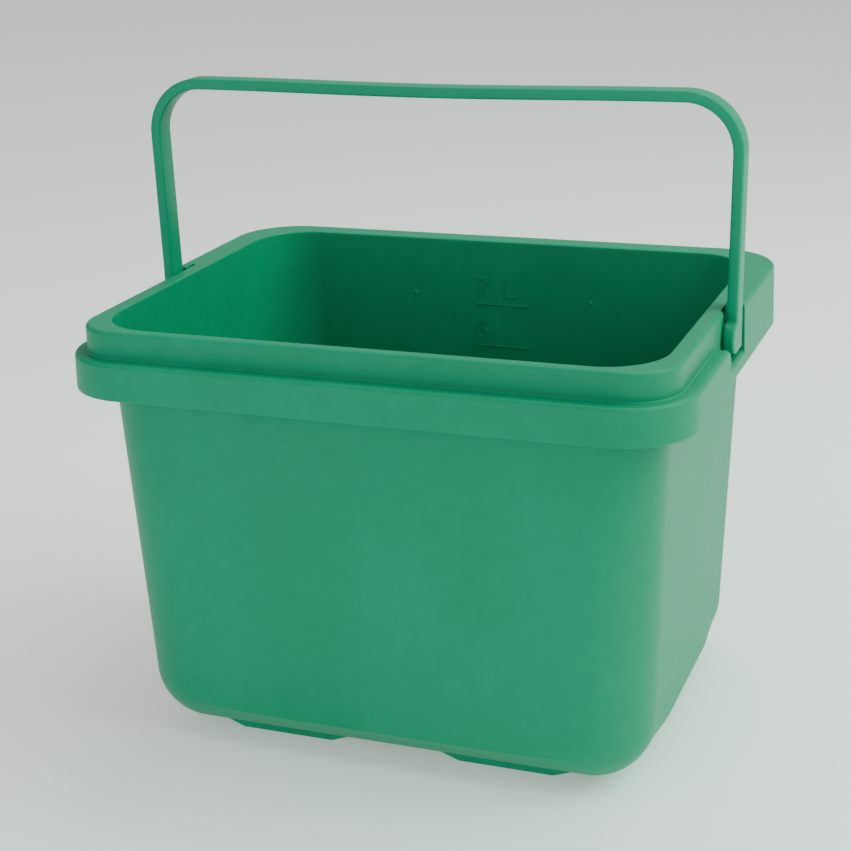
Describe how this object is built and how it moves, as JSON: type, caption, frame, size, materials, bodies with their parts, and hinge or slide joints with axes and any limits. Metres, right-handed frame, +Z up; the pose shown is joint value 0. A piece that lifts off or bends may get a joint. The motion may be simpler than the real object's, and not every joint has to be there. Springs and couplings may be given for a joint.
{
  "type": "florist bucket",
  "caption": "Rectangular moulded plastic bucket with a stepped hollow rim, litre marks inside, foot pads and a flat bail handle that folds forward onto the rim.",
  "frame": {"origin": "on the floor under the middle of the tub, between the foot pads", "axes": "+Z up, -Y towards the front where the rim is stepped, +X to the right seen from the front and along the handle's hinge"},
  "size_m": [0.2804, 0.2192, 0.2924],
  "materials": {
    "green_moulding": "fine-grained satin moulding, polypropylene",
    "green_handle": "satin moulding, polypropylene"
  },
  "bodies": {
    "bucket": {"bucket": "green_moulding"},
    "handle": {"handle": "green_handle"}
  },
  "joints": [
    {"name": "handle_fold", "type": "hinge", "parent": "bucket", "child": "handle", "pos_m": [0, -0.0032, 0.1871], "axis": [1, 0, 0], "range_deg": [-11, 90]}
  ]
}
